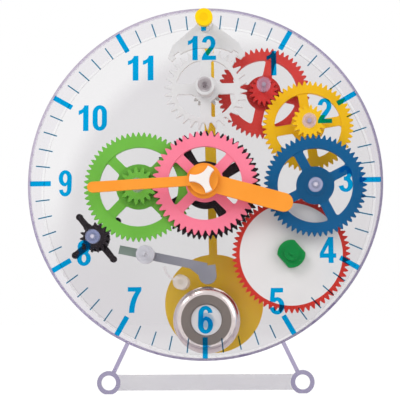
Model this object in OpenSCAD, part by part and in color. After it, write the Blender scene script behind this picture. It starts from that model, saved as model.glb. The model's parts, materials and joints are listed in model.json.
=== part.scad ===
// Pendulum clock model with a clear case, coloured wheels, a quarter striker and a spring barrel.
// X runs to the right, Y to the back and Z up. The clock stands on Z = 0.
// Depths are measured backwards from the front face of the dial.

/* [Case] */
// Radius of the dial and of the case
case_r = 122.5; // [118:0.5:150]
// Thickness of the dial
dial_t = 2.5; // [2:0.1:4]
// Depth at which the inner face of the back plate lies
back_d = 36; // [34:0.5:46]
// Thickness of the back plate
back_t = 2.5; // [2:0.1:4]
// Wall of the band between dial and back plate
band_t = 2; // [1.5:0.1:3]
// Depth of the lips that locate both plates in the band
lip_h = 2.5; // [1.5:0.1:4]
// Radius of the bearing bosses
boss_r = 5; // [4:0.1:6]
// Height of the bearing bosses
boss_h = 2; // [1:0.1:2.3]

/* [Stand] */
// Length of each leg, from the case to the foot tube
leg_l = 21.3; // [10:0.1:40]
// Angle of each leg from straight down
foot_angle = 25.6; // [18:0.2:34]
// Outer radius of a foot tube
tube_r = 8; // [7:0.1:12]
// Bore radius of a foot tube
tube_bore_r = 5; // [3:0.1:6]
// Thickness of a leg
leg_t = 2.8; // [2:0.1:5]
// Flat ground off under each tube
foot_land = 0.4; // [0.2:0.1:1]
// Height of the bar between the tubes
bar_h = 10.4; // [6:0.1:13]
// Thickness of the bar
bar_t = 3; // [2:0.1:6]

/* [Wheel train] */
// Tooth module of the going train
mod = 1.25; // [1.25]
// Pressure angle of all teeth
pressure = 25; // [20:1:27]
// Backlash at the pitch circle of one pair
backlash = 0.25; // [0.15:0.01:0.35]
// Teeth of the barrel
barrel_n = 64; // [60:2:64]
// Teeth of the centre wheel
centre_n = 60; // [56:2:60]
// Teeth of the second wheel and its pinion
second_n = [55, 16];
// Teeth of the third wheel and its pinion
third_n = [50, 17];
// Teeth of the fourth wheel and its pinion
fourth_n = [51, 15];
// Teeth of the escape wheel and its pinion
escape_n = [30, 15];
// Teeth of the minute wheel and of its pinion
minute_n = [60, 15];
// Teeth of the cannon pinion
cannon_n = 15; // [15]
// Teeth of the hour wheel
hour_n = 45; // [45]
// Teeth of the strike pinion
strike_n = 15; // [15]
// Form of a wheel: inner radius of ring, radius of hub, width and direction of spokes, radius of boss
centre_form = [28, 17, 7, 30, 6];
// Form of the second wheel
second_form = [26, 13.2, 6.6, 27, 7.2];
// Form of the third wheel
third_form = [23.8, 12, 6.6, 9, 6];
// Form of the fourth wheel
fourth_form = [24.3, 12.5, 6.8, 77, 6];
// Form of the minute wheel
minute_form = [28, 16, 7, 45, 6];
// Form of the hour wheel
hour_form = [25.8, 13.4, 7, 45, 6];
// Spokes of a wheel
spokes = 4; // [3:1:6]
// Thickness of a toothed ring
ring_t = 3; // [2.4:0.1:3.2]
// Thickness of the spokes
web_t = 2; // [1.4:0.1:2.6]
// Radius of a plain arbor
arbor_r = 1.5; // [1.2:0.1:2]
// Radius of the fillets where the spokes meet hub and ring
fillet_r = 1.6; // [0.8:0.1:2.4]

/* [Escapement] */
// Tip radius of the escape wheel
escape_tip_r = 29.5; // [24:0.5:29.5]
// Height of the pendulum's pivot above the escape wheel's axis
pivot_reach = 46.2; // [44.5:0.1:46.8]
// Teeth that the anchor spans
pallet_teeth = 8.5; // [7.5:1:8.5]
// Swing of the pendulum to each side of upright
swing = 4; // [2:0.5:5]
// Lean of the pendulum as the clock is shown
lean = 1.04; // [0:0.01:2]
// Distance from the pendulum's pivot to the middle of its bob
pendulum_l = 198.5; // [185:0.5:215]
// Radius of the bob
bob_r = 35.9; // [30:0.5:38]
// Thickness of the bob
bob_t = 6; // [4:0.5:9]

/* [Hands] */
// Length of the minute hand from its axis
minute_l = 79.5; // [60:0.5:100]
// Length of the hour hand from its axis
hour_l = 62.8; // [45:0.5:75]
// Direction of the minute hand, anticlockwise from the right
minute_a = 183.1; // [0:0.1:360]
// Direction of the hour hand, anticlockwise from the right
hour_a = -15.9; // [-180:0.1:180]
// Thickness of each hand
hand_t = 2.5; // [2:0.1:3]

/* [Strike] */
// Reach of the star's arms
star_reach = 21.6; // [18:0.1:22]
// Outer radius of the bell
bell_r = 23.7; // [18:0.1:25]
// Wall of the bell
bell_t = 1.2; // [0.8:0.1:2]

/* [Winding] */
// Inner radius of the spring drum
drum_r = 33.5; // [30:0.1:34]
// Radius of the winding arbor
winder_r = 3; // [2.5:0.1:4]
// Turns of the mainspring
spring_turns = 7; // [4:1:9]
// Teeth of the ratchet
ratchet_n = 16; // [12:1:20]

/* [Fits] */
// Radial clearance of a shaft in its bearing
running = 0.05; // [0.03:0.01:0.1]
// Gap between pieces that pass each other
gap = 0.3; // [0.25:0.05:0.5]

/* [Hidden] */
$fn = 96;
tiny = 0.01;

// How far a cut runs past what it cuts, and the play of a piece along its axis
over = 1;
seat = 0.5;

// Depth layers of the train, front face first
hour_d = 5;
minute_d = 9.5;
centre_d = 14;
hammer_d = 17.9;
hammer_t = 3.5;
third_d = 19;
fourth_d = 24;
drum_back_d = 29;
ratchet_d = 30.5;
ratchet_t = 3;
ratchet_r = 13;
ratchet_root = 11;
ratchet_a = 120;
pinion_over = 0.2;
case_d = back_d + back_t;
foot_reach = case_r + leg_l + tube_r;
pivot_front_d = 1;
pivot_back_d = case_d - 1;
pivot_end = 0.2;
hour_hand_d = -5;
minute_hand_d = -9;
cap_t = 4;
rod_d = case_d + 4;
rod_t = 4;
key_front_d = case_d + 2;
key_t = 13;
front_d = minute_hand_d - cap_t;
rear_d = key_front_d + key_t;
dial_y = -(front_d + rear_d) / 2;
centre_z = foot_reach * cos(foot_angle) + tube_r - foot_land;

// Plan positions, from the dial's centre, from centre distances and the direction of each pair
function pair(a, b, m) = m * (a + b) / 2;
function polar(r, a) = [r * cos(a), r * sin(a)];
barrel_a = -39.8;
second_a = 70.1;
third_a = 94.6;
fourth_a = 140.4;
escape_a = 178.8;
minute_wheel_a = 181.7;
strike_a = 229.1;
centre_p = [0, 0];
barrel_p = polar(pair(barrel_n, centre_n, mod), barrel_a);
second_p = barrel_p + polar(pair(barrel_n, second_n[1], mod), second_a);
third_p = second_p + polar(pair(second_n[0], third_n[1], mod), third_a);
fourth_p = third_p + polar(pair(third_n[0], fourth_n[1], mod), fourth_a);
escape_p = fourth_p + polar(pair(fourth_n[0], escape_n[1], mod), escape_a);
minute_p = polar(pair(minute_n[0], cannon_n, mod), minute_wheel_a);
strike_p = minute_p + polar(pair(minute_n[0], strike_n, mod), strike_a);
hour_mod = 2 * norm(minute_p) / (minute_n[1] + hour_n);
hammer_p = [-42.7, -48.8];
stop_p = [-17, -68.7];
bell_p = [0, -95];
pallet_a = 180 * pallet_teeth / escape_n[0];
pivot_p = escape_p + [0, pivot_reach];

// Angle of the first tooth of a driven wheel that meshes with a driver
function meshed(n_a, start_a, n_b, way) =
    way + 180 - n_a / n_b * (start_a - way) - 180 / n_b;
barrel_s = 0;
second_s = 0;
third_s = 0;
fourth_s = 0;
minute_s = 0;
minute_pinion_s = 0;
centre_s = meshed(barrel_n, barrel_s, centre_n, barrel_a + 180);
second_pinion_s = meshed(barrel_n, barrel_s, second_n[1], second_a);
third_pinion_s = meshed(second_n[0], second_s, third_n[1], third_a);
fourth_pinion_s = meshed(third_n[0], third_s, fourth_n[1], fourth_a);
escape_pinion_s = meshed(fourth_n[0], fourth_s, escape_n[1], escape_a);
cannon_s = meshed(minute_n[0], minute_s, cannon_n, minute_wheel_a + 180);
strike_s = meshed(minute_n[0], minute_s, strike_n, strike_a);
hour_s = meshed(minute_n[1], minute_pinion_s, hour_n, minute_wheel_a + 180);

// An extrusion of a shape drawn as seen from the front, between two depths
module slab(d0, d1) {
    translate([0, dial_y + d1, centre_z]) rotate([90, 0, 0]) linear_extrude(d1 - d0) children();
}

// A round bar along the depth
module bar(p, r, d0, d1) {
    translate([p[0], dial_y + d0, centre_z + p[1]]) rotate([-90, 0, 0]) cylinder(r = r, h = d1 - d0);
}

// A turned piece from a profile of [radius, depth] points
module turned(p) {
    translate([p[0], dial_y, centre_z + p[1]]) rotate([-90, 0, 0]) rotate_extrude() children();
}

module at(p) {
    translate([p[0], p[1]]) children();
}

// Involute teeth: half the angle that a tooth takes up at radius r
function involute(a) = tan(a) * 180 / PI - a;
function half_tooth(n, m, r) =
    let (pitch = m * n / 2, base = pitch * cos(pressure))
    90 / n - backlash / 4 / pitch * 180 / PI + involute(pressure)
    - involute(acos(min(1, base / max(r, base))));
addendum = 1;
dedendum = 1.3;

module teeth(n, m, start) {
    pitch = m * n / 2;
    root = pitch - dedendum * m;
    base = max(pitch * cos(pressure), root);
    tip = pitch + addendum * m;
    rise = [root, base, (base + tip) / 2, tip];
    polygon([
        for (i = [0:n - 1])
            let (mid = start + 360 * i / n)
            each concat(
                [for (k = [0:3]) polar(rise[k], mid - half_tooth(n, m, rise[k]))],
                [for (k = [3:-1:0]) polar(rise[k], mid + half_tooth(n, m, rise[k]))]
            )
    ]);
}

// How far a spoke and its fillets run into the hub and the ring
root_in = 0.4;
fillet_in = 0.03;

// One spoke along +X with filleted ends, between a hub and a ring
module spoke(hub_r, ring_r, w) {
    f = min(fillet_r, w / 2);
    y = w / 2 + f;
    x_ring = sqrt(pow(ring_r - f + fillet_in, 2) - y * y);
    x_hub = sqrt(pow(hub_r + f - fillet_in, 2) - y * y);
    translate([0, -w / 2]) square([ring_r + root_in, w]);
    for (s = [0, 1]) mirror([0, s]) {
        difference() {
            polygon([
                [x_ring, w / 2 - root_in], [sqrt(ring_r * ring_r - w * w / 4) + root_in, w / 2 - root_in],
                [x_ring, y] * (ring_r + root_in) / (ring_r - f), [x_ring, y]
            ]);
            translate([x_ring, y]) circle(f, $fn = 32);
        }
        difference() {
            polygon([
                [x_hub, y], [x_hub, y] * (hub_r - root_in) / (hub_r + f),
                [sqrt(hub_r * hub_r - w * w / 4) - root_in, w / 2 - root_in], [x_hub, w / 2 - root_in]
            ]);
            translate([x_hub, y]) circle(f, $fn = 32);
        }
    }
}

// A toothed wheel: a thick ring, thinner spokes and a hub with a raised boss
module wheel(p, n, m, start, d, form, bore_r) {
    step = (ring_t - web_t) / 2;
    ring_r = form[0];
    hub_r = form[1];
    boss = form[4];
    difference() {
        union() {
            slab(d, d + ring_t) at(p) difference() {
                teeth(n, m, start);
                circle(ring_r);
            }
            slab(d + step, d + step + web_t) at(p) {
                circle(hub_r);
                for (i = [0:spokes - 1]) rotate(form[3] + i * 360 / spokes) spoke(hub_r, ring_r, form[2]);
            }
            bar(p, boss, d, d + ring_t);
        }
        bar(p, bore_r, d - over, d + ring_t + over);
    }
}

// A pinion with a sleeve on one side
module pinion(p, n, m, start, d0, d1, sleeve_d, bore_r) {
    difference() {
        union() {
            slab(d0, d1) at(p) teeth(n, m, start);
            bar(p, sleeve_r, min(d0 + tiny, sleeve_d), max(d1 - tiny, sleeve_d));
        }
        bar(p, bore_r, min(d0, sleeve_d) - over, max(d1, sleeve_d) + over);
    }
}

module arbor(p) {
    bar(p, arbor_r, pivot_front_d, pivot_back_d);
}

// Case
front_sockets = [second_p, third_p, fourth_p, escape_p, minute_p, strike_p, hammer_p, barrel_p];
back_sockets = [second_p, third_p, fourth_p, escape_p, minute_p, strike_p, hammer_p];
lip_r = case_r - band_t - gap / 3;
pipe_r = 5;
pipe_wall = 2.5;
sleeve_r = boss_r - 1;
cannon_r = 3.2;
centre_arbor_r = 2;
hanger_r = 2;

module plate_lip(d0, d1) {
    slab(d0, d1) difference() {
        circle(lip_r, $fn = 180);
        circle(lip_r - band_t, $fn = 180);
    }
}

module dial_plate() {
    color([0.85, 0.85, 0.9, 0.35])
    difference() {
        union() {
            slab(0, dial_t) circle(case_r, $fn = 180);
            plate_lip(dial_t - tiny, dial_t + lip_h);
            for (p = front_sockets) bar(p, boss_r, dial_t - tiny, dial_t + boss_h);
            bar(centre_p, pipe_r + pipe_wall, dial_t - tiny, dial_t + boss_h);
            bar(pivot_p, boss_r, dial_t - tiny, dial_t + boss_h);
        }
        for (p = front_sockets) bar(p, arbor_r + running, pivot_front_d - pivot_end, dial_t + boss_h + 1);
        bar(centre_p, pipe_r + running, -over, dial_t + boss_h + over);
        bar(pivot_p, hanger_r + running, -over, dial_t + boss_h + over);
    }
}

module case_band() {
    color([0.8, 0.78, 0.88, 0.4])
    slab(dial_t, back_d) difference() {
        circle(case_r, $fn = 180);
        circle(case_r - band_t, $fn = 180);
    }
}

click_a = 120;
click_p = barrel_p + polar(ratchet_r + 7.5, click_a);
click_stud_r = 2;

module back_plate() {
    color([0.85, 0.85, 0.9, 0.35])
    difference() {
        union() {
            slab(back_d, case_d) circle(case_r, $fn = 180);
            plate_lip(back_d - lip_h, back_d + tiny);
            for (p = back_sockets) bar(p, boss_r, back_d - boss_h, back_d + tiny);
            bar(centre_p, boss_r, back_d - boss_h, back_d + tiny);
            bar(pivot_p, boss_r, back_d - boss_h, back_d + tiny);
            bar(click_p, click_stud_r, ratchet_d, back_d + tiny);
        }
        for (p = back_sockets) bar(p, arbor_r + running, back_d - boss_h - 1, pivot_back_d + pivot_end);
        bar(centre_p, centre_arbor_r + running, back_d - boss_h - over, pivot_back_d + pivot_end);
        bar(pivot_p, hanger_r + running, back_d - boss_h - over, case_d + over);
        bar(barrel_p, winder_r + running, back_d - over, case_d + over);
    }
}

leg_in = 2;
foot_x = foot_reach * sin(foot_angle);
foot_z = -foot_reach * cos(foot_angle);

module foot(side) {
    color([0.74, 0.7, 0.84, 0.5])
    slab(0, case_d) difference() {
        union() {
            rotate(-90 + side * foot_angle) translate([case_r - leg_in, -leg_t / 2])
                square([foot_reach - case_r - leg_in, leg_t]);
            at([side * foot_x, foot_z]) circle(tube_r);
        }
        circle(case_r, $fn = 180);
        at([side * foot_x, foot_z]) circle(tube_bore_r);
        at([side * foot_x - tube_r, foot_z - tube_r - over]) square([2 * tube_r, over + foot_land]);
    }
}

module foot_left() foot(-1);

module foot_right() foot(1);

module cross_bar() {
    color([0.86, 0.85, 0.87, 0.6])
    slab(0, bar_t) difference() {
        at([-foot_x, foot_z - bar_h / 2]) square([2 * foot_x, bar_h]);
        for (s = [-1, 1]) at([s * foot_x, foot_z]) circle(tube_r);
    }
}

// Spring barrel and winding work
lid_t = 1.5;
drum_wall = 2;
lid_over = 0.4;
lid_r = drum_r + drum_wall + lid_over;
floor_t = 2;

module barrel_wheel() {
    color([0.82, 0.22, 0.2])
    difference() {
        union() {
            slab(centre_d, centre_d + ring_t) at(barrel_p) teeth(barrel_n, mod, barrel_s);
            bar(barrel_p, drum_r + drum_wall, centre_d + ring_t - tiny, drum_back_d);
        }
        bar(barrel_p, lid_r, centre_d - over, centre_d + lid_t);
        bar(barrel_p, drum_r, centre_d, drum_back_d - floor_t);
        bar(barrel_p, winder_r + running, centre_d, drum_back_d + over);
    }
}

module barrel_lid() {
    color([0.93, 0.93, 0.94])
    difference() {
        bar(barrel_p, lid_r, centre_d, centre_d + lid_t);
        bar(barrel_p, winder_r + running, centre_d - over, centre_d + lid_t + over);
    }
}

spring_t = 0.6;
spring_in = winder_r + 0.8;
spring_out = drum_r - 0.6;
spring_steps = 22;

module mainspring() {
    turns = spring_turns * spring_steps;
    function coil(i, side) =
        polar(spring_in + (spring_out - spring_in) * i / turns + side * spring_t / 2, 360 * i / spring_steps);
    color([0.5, 0.52, 0.56])
    slab(centre_d + lid_t + 2 * seat, drum_back_d - floor_t - seat) at(barrel_p) polygon(concat(
        [for (i = [0:turns]) coil(i, 1)],
        [for (i = [turns:-1:0]) coil(i, -1)]
    ));
}

key_cover = 3;
hub_d = 8;
hub_r = 9.65;
hub_flats = 15.5;
hub_neck_r = 5;
hub_a = -50;

module winding_hub() {
    color([0, 0.6, 0.25])
    difference() {
        union() {
            slab(hub_d, centre_d - seat) at(barrel_p) intersection() {
                circle(hub_r);
                rotate(hub_a) square([2 * (hub_r + over), hub_flats], center = true);
            }
            bar(barrel_p, hub_neck_r, dial_t + boss_h + seat, hub_d + tiny);
        }
        bar(barrel_p, winder_r, dial_t, centre_d);
    }
}

module winding_arbor() {
    color([0.7, 0.72, 0.75]) {
        bar(barrel_p, arbor_r, pivot_front_d, dial_t + boss_h + over);
        bar(barrel_p, winder_r, dial_t + boss_h + seat, key_front_d + key_t - key_cover);
    }
}

ratchet_tip_a = 1;

module ratchet_wheel() {
    color([0.75, 0.76, 0.78])
    difference() {
        slab(ratchet_d, ratchet_d + ratchet_t) at(barrel_p) rotate(ratchet_a) polygon([
            for (i = [0:ratchet_n - 1])
                let (a = 360 * i / ratchet_n)
                each [polar(ratchet_root, a), polar(ratchet_r, a + ratchet_tip_a)]
        ]);
        bar(barrel_p, winder_r, ratchet_d - over, ratchet_d + ratchet_t + over);
    }
}

key_collar_r = 6;
key_collar_h = 5;
key_neck_r = 4.5;
key_wing = 12;
key_wing_t = 4;

module winding_key() {
    color([0, 0.6, 0.25])
    difference() {
        union() {
            bar(barrel_p, key_collar_r, key_front_d, rear_d - key_t + key_collar_h);
            slab(key_front_d + key_cover, rear_d) at(barrel_p) rotate(hub_a) {
                translate([-key_wing + key_wing_t / 2, -key_wing_t / 2])
                    square([2 * key_wing - key_wing_t, key_wing_t]);
                for (s = [-1, 1]) at([s * (key_wing - key_wing_t / 2), 0]) circle(key_wing_t / 2, $fn = 32);
                circle(key_neck_r);
            }
        }
        bar(barrel_p, winder_r, key_front_d - over, rear_d - key_cover);
    }
}

click_lead = 35;
click_nose_w = 2;
click_root_w = 7.2;
click_wall = 2;
click_v = barrel_p + polar(ratchet_r + gap + click_nose_w / 2, click_a + click_lead) - click_p;

module click() {
    color([0.75, 0.76, 0.78])
    difference() {
        slab(ratchet_d, ratchet_d + ratchet_t) at(click_p) {
            circle(click_stud_r + click_wall);
            rotate(atan2(click_v[1], click_v[0])) polygon([
                [0, -click_root_w / 2], [norm(click_v), -click_nose_w / 2],
                [norm(click_v), click_nose_w / 2], [0, click_root_w / 2]
            ]);
        }
        bar(click_p, click_stud_r + running, ratchet_d - over, ratchet_d + ratchet_t + over);
    }
}

leaf_t = 0.8;
leaf_x = 0.6;
leaf_l = 14;
leaf_stud_r = 2;
leaf_p = click_p + [-7.2, 5];

module click_spring() {
    color([0.7, 0.72, 0.75]) {
        bar(leaf_p, leaf_stud_r, ratchet_d, back_d);
        slab(ratchet_d, ratchet_d + ratchet_t) at(leaf_p + [leaf_x, -leaf_l]) square([leaf_t, leaf_l]);
    }
}

// Centre arbor and hands
module centre_wheel() {
    color([0.16, 0.13, 0.15])
    wheel(centre_p, centre_n, mod, centre_s, centre_d, centre_form, centre_arbor_r);
}

module centre_arbor() {
    color([0.7, 0.72, 0.75])
    bar(centre_p, centre_arbor_r, minute_hand_d + seat, pivot_back_d);
}

module cannon_pinion() {
    color([0.16, 0.13, 0.15])
    difference() {
        union() {
            slab(minute_d - pinion_over, minute_d + ring_t + pinion_over) teeth(cannon_n, mod, cannon_s);
            bar(centre_p, cannon_r, minute_hand_d, minute_d);
            bar(centre_p, sleeve_r, minute_d, centre_d);
        }
        bar(centre_p, centre_arbor_r, minute_hand_d - over, centre_d + over);
    }
}

// Hub radius of each hand, and the width of its blade at the root and at the tip
minute_blade = [9.9, 6.6, 7.3];
hour_blade = [12.2, 12.2, 12.8];

// A hand along +X: a hub, a blade that widens a little and a round end
module blade(hub_r, root_w, tip_w, l) {
    circle(hub_r);
    polygon([[0, -root_w / 2], [l - tip_w / 2, -tip_w / 2], [l - tip_w / 2, tip_w / 2], [0, root_w / 2]]);
    at([l - tip_w / 2, 0]) circle(tip_w / 2, $fn = 48);
}

module minute_hand() {
    color([0.99, 0.61, 0.18])
    slab(minute_hand_d, minute_hand_d + hand_t) difference() {
        rotate(minute_a) blade(minute_blade[0], minute_blade[1], minute_blade[2], minute_l);
        circle(cannon_r);
    }
}

cap_r = 9.4;
cap_a = -5;
cap_cut_x = 13.6;
cap_cut_r = 9.6;

module hand_cap() {
    color([0.96, 0.96, 0.96])
    slab(minute_hand_d - cap_t, minute_hand_d) difference() {
        circle(cap_r);
        for (a = [cap_a:120:cap_a + 240]) rotate(a) translate([cap_cut_x, 0]) circle(cap_cut_r);
    }
}

module hour_hand() {
    color([0.99, 0.61, 0.18])
    slab(hour_hand_d, hour_hand_d + hand_t) difference() {
        rotate(hour_a) blade(hour_blade[0], hour_blade[1], hour_blade[2], hour_l);
        circle(pipe_r);
    }
}

// Going train
module second_wheel() {
    color([0.02, 0.38, 0.6])
    wheel(second_p, second_n[0], mod, second_s, hour_d, second_form, arbor_r);
}

module second_pinion() {
    color([0.02, 0.38, 0.6])
    pinion(second_p, second_n[1], mod, second_pinion_s,
        centre_d - pinion_over, centre_d + ring_t + pinion_over,
        hour_d + ring_t, arbor_r);
}

module third_wheel() {
    color([0.94, 0.76, 0.1])
    wheel(third_p, third_n[0], mod, third_s, third_d, third_form, arbor_r);
}

module third_pinion() {
    color([0.94, 0.76, 0.1])
    pinion(third_p, third_n[1], mod, third_pinion_s, hour_d - pinion_over, hour_d + ring_t + pinion_over,
        third_d, arbor_r);
}

module fourth_wheel() {
    color([0.84, 0.25, 0.24])
    wheel(fourth_p, fourth_n[0], mod, fourth_s, fourth_d, fourth_form, arbor_r);
}

module fourth_pinion() {
    color([0.84, 0.25, 0.24])
    pinion(fourth_p, fourth_n[1], mod, fourth_pinion_s, third_d - pinion_over, third_d + ring_t + pinion_over,
        fourth_d, arbor_r);
}

escape_d = centre_d;
escape_t = 2;
escape_ring = [escape_tip_r - 8.2, escape_tip_r - 4.9];
escape_hub_r = 9.5;
escape_boss_r = 6.6;
escape_boss_d = [hour_d + 0.5, escape_d + escape_t + 1];
escape_spoke_w = 7.6;

// Angles of a tooth's foot, back of the tip, front of the tip and next foot, behind its front
tooth_a = [-8, -4.2, -3, 0];

module escape_wheel() {
    color([0.95, 0.95, 0.96])
    difference() {
        union() {
            slab(escape_d, escape_d + escape_t) at(escape_p) {
                difference() {
                    polygon([
                        for (i = [0:escape_n[0] - 1])
                            let (a = 360 * i / escape_n[0])
                            each [
                                polar(escape_ring[1], a + tooth_a[0]), polar(escape_tip_r, a + tooth_a[1]),
                                polar(escape_tip_r, a + tooth_a[2]), polar(escape_ring[1], a + tooth_a[3])
                            ]
                    ]);
                    circle(escape_ring[0]);
                }
                circle(escape_hub_r);
                for (a = [0:90:270]) rotate(a) spoke(escape_hub_r, escape_ring[0], escape_spoke_w);
            }
            bar(escape_p, escape_boss_r, escape_boss_d[0], escape_boss_d[1]);
        }
        bar(escape_p, arbor_r, escape_boss_d[0] - over, escape_boss_d[1] + over);
    }
}

module escape_pinion() {
    color([0.95, 0.95, 0.96])
    pinion(escape_p, escape_n[1], mod, escape_pinion_s,
        fourth_d - pinion_over, fourth_d + ring_t + pinion_over,
        escape_boss_d[1], arbor_r);
}

module second_arbor() { color([0.7, 0.72, 0.75]) arbor(second_p); }

module third_arbor() { color([0.7, 0.72, 0.75]) arbor(third_p); }

module fourth_arbor() { color([0.7, 0.72, 0.75]) arbor(fourth_p); }

module escape_arbor() { color([0.7, 0.72, 0.75]) arbor(escape_p); }

// Motion work behind the dial
module minute_wheel() {
    color([0.4, 0.73, 0.27])
    wheel(minute_p, minute_n[0], mod, minute_s, minute_d, minute_form, arbor_r);
}

module minute_pinion() {
    color([0.4, 0.73, 0.27])
    pinion(minute_p, minute_n[1], hour_mod, minute_pinion_s,
        hour_d - pinion_over, hour_d + ring_t + pinion_over,
        minute_d, arbor_r);
}

module minute_arbor() { color([0.7, 0.72, 0.75]) arbor(minute_p); }

module hour_wheel() {
    color([0.98, 0.52, 0.62])
    difference() {
        union() {
            wheel(centre_p, hour_n, hour_mod, hour_s, hour_d, hour_form, cannon_r + running);
            bar(centre_p, pipe_r, hour_hand_d, hour_d + ring_t);
        }
        bar(centre_p, cannon_r + running, hour_hand_d - over, hour_d + ring_t + over);
    }
}

// Quarter striker
star_d = centre_d + 0.5;
star_t = 3;
star_a = 39;
star_hub_r = 9.4;

module strike_pinion() {
    color([0.16, 0.13, 0.15])
    pinion(strike_p, strike_n, mod, strike_s, minute_d - pinion_over, minute_d + ring_t + pinion_over,
        star_d, arbor_r);
}

module strike_star() {
    arm_w = [5.2, 4];
    end_r = 2.4;
    color([0.16, 0.13, 0.15])
    difference() {
        slab(star_d, star_d + star_t) at(strike_p) {
            circle(star_hub_r);
            for (a = [star_a:90:star_a + 270]) rotate(a) {
                polygon([
                    [0, -arm_w[0] / 2], [star_reach - end_r, -arm_w[1] / 2],
                    [star_reach - end_r, arm_w[1] / 2], [0, arm_w[0] / 2]
                ]);
                at([star_reach - end_r, 0]) circle(end_r, $fn = 32);
            }
        }
        bar(strike_p, arbor_r, star_d - over, star_d + star_t + over);
    }
}

module strike_arbor() { color([0.7, 0.72, 0.75]) arbor(strike_p); }

lever_a = -12.1;
lever_w = 6;
lever_tail = 19.5;
lever_reach = 50;
head_r = 6.2;
head_gap = 1.4;
head_rise = 0.3;
head_taper = 3 * head_r;
lever_eye_r = 4.5;
collar_r = 6.5;
collar_h = 5;
head_p = bell_p + [0.8, bell_r + head_gap + head_r];

module hammer_lever() {
    color([0.58, 0.6, 0.63])
    difference() {
        slab(hammer_d, hammer_d + hammer_t) {
            at(hammer_p) rotate(lever_a) translate([-lever_tail, -lever_w / 2])
                square([lever_tail + lever_reach - head_r, lever_w]);
            at(hammer_p) circle(lever_eye_r);
            at(head_p) circle(head_r);
            polygon([
                head_p + [-head_r, 0], head_p + [head_r, 0],
                hammer_p + polar(lever_reach, lever_a) + [0, lever_w / 2 + head_rise],
                hammer_p + polar(lever_reach - head_taper, lever_a) + [0, -lever_w / 2]
            ]);
        }
        bar(hammer_p, arbor_r, hammer_d - over, hammer_d + hammer_t + over);
    }
}

module hammer_collar() {
    color([0.9, 0.9, 0.94])
    difference() {
        bar(hammer_p, collar_r, hammer_d - collar_h, hammer_d);
        bar(hammer_p, arbor_r, hammer_d - collar_h - over, hammer_d + over);
    }
}

module hammer_arbor() { color([0.7, 0.72, 0.75]) arbor(hammer_p); }

stop_arc_p = stop_p + [-1.4, 13.2];
stop_arc_r = 11.7;
stop_arc_t = 1.6;
stop_arc_cut = [[20, 188], [30, 225], [20, 268]];
stop_post_r = 5.2;
stop_bore_r = 1.2;

// A post on the dial with a curved arm, on which the lever rests
module hammer_stop() {
    color([0.88, 0.88, 0.93, 0.5])
    difference() {
        union() {
            bar(stop_p, stop_post_r, dial_t, hammer_d + hammer_t);
            slab(hammer_d, hammer_d + hammer_t) intersection() {
                at(stop_arc_p) difference() {
                    circle(stop_arc_r + stop_arc_t / 2);
                    circle(stop_arc_r - stop_arc_t / 2);
                }
                at(stop_arc_p) polygon([[0, 0], for (k = stop_arc_cut) polar(k[0], k[1])]);
            }
        }
        bar(stop_p, stop_bore_r, dial_t + over, hammer_d + hammer_t + over);
        slab(hammer_d - over, hammer_d + hammer_t + over) at(hammer_p) rotate(lever_a)
            translate([-lever_tail, -lever_w / 2 - gap]) square([lever_tail + lever_reach, 2 * lever_w]);
    }
}

bell_front_d = 13;
bell_back_d = 27;
bell_ring = [bell_r - 12.1, bell_r - 6.1];
bell_dish_d = bell_front_d + 2;
bell_curve = 16;
bell_hole_r = 3;
bell_slope = 1;
bell_round_d = 7;
post_r = 4.5;
post_foot_r = 8;
post_foot_h = 2;
screw_r = 1.5;
screw_l = 11;
screw_head_r = 5;
screw_head_h = 2;
screw_slot = [8, 1.2];

module bell() {
    round_r = bell_r - bell_ring[1];
    function shell(t) = concat(
        [
            [bell_hole_r, bell_dish_d + t], [bell_ring[0] - bell_slope - t / 2, bell_dish_d + t],
            [bell_ring[0] + t / 2, bell_front_d + t]
        ],
        [for (i = [0:bell_curve])
            let (a = 90 * i / bell_curve)
            [bell_ring[1] + (round_r - t) * sin(a), bell_front_d + t + (bell_round_d - t) * (1 - cos(a))]],
        [[bell_r - t, bell_back_d]]
    );
    outer = shell(0);
    inner = shell(bell_t);
    color([0.8, 0.8, 0.82])
    turned(bell_p) polygon(concat(outer, [for (i = [len(inner) - 1:-1:0]) inner[i]]));
}

module bell_post() {
    color([0.85, 0.85, 0.9])
    difference() {
        union() {
            bar(bell_p, post_r, bell_dish_d + bell_t, back_d);
            bar(bell_p, post_foot_r, back_d - post_foot_h, back_d);
        }
        bar(bell_p, screw_r, bell_dish_d, bell_dish_d + screw_l + over);
    }
}

module bell_screw() {
    color([0.75, 0.76, 0.78])
    difference() {
        union() {
            bar(bell_p, screw_head_r, bell_dish_d - screw_head_h, bell_dish_d);
            bar(bell_p, screw_r, bell_dish_d - tiny, bell_dish_d + screw_l);
        }
        slab(bell_dish_d - screw_head_h - over, bell_dish_d - screw_head_h / 2) at(bell_p)
            square(screw_slot, center = true);
    }
}

// Pendulum with its anchor
module leaning() {
    translate([pivot_p[0], 0, centre_z + pivot_p[1]]) rotate([0, -lean, 0])
        translate([-pivot_p[0], 0, -centre_z - pivot_p[1]]) children();
}

anchor_t = 2;
anchor_hub_r = 4.7;
anchor_boss_r = 4.6;
anchor_boss_h = 1.5;
anchor_top = [2.4, 4];
shoulder_h = 8;
toe_h = 4;
toe_a = pallet_a - 2;
shoulder_a = pallet_a - 15;
pallet_w = 8;
notch_h = 2.4;

// A point at an angle from upright round the escape wheel
function round_wheel(r, a) = escape_p + [r * sin(a), r * cos(a)];

// Where the wheel's teeth and the swing let the anchor come, at an angle from upright
function free_r(a) = escape_tip_r + pivot_reach * sin(abs(a)) * sin(swing) + gap;

// The outline of the anchor's back, from the left pallet over the pivot to the right one
module anchor_back() {
    half = [
        round_wheel(escape_tip_r, pallet_a), round_wheel(free_r(pallet_a) + toe_h, toe_a),
        round_wheel(free_r(pallet_a) + shoulder_h, shoulder_a), pivot_p + anchor_top
    ];
    polygon([
        escape_p, for (p = half) p, for (i = [len(half) - 1:-1:0]) [2 * pivot_p[0] - half[i][0], half[i][1]]
    ]);
}

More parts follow.
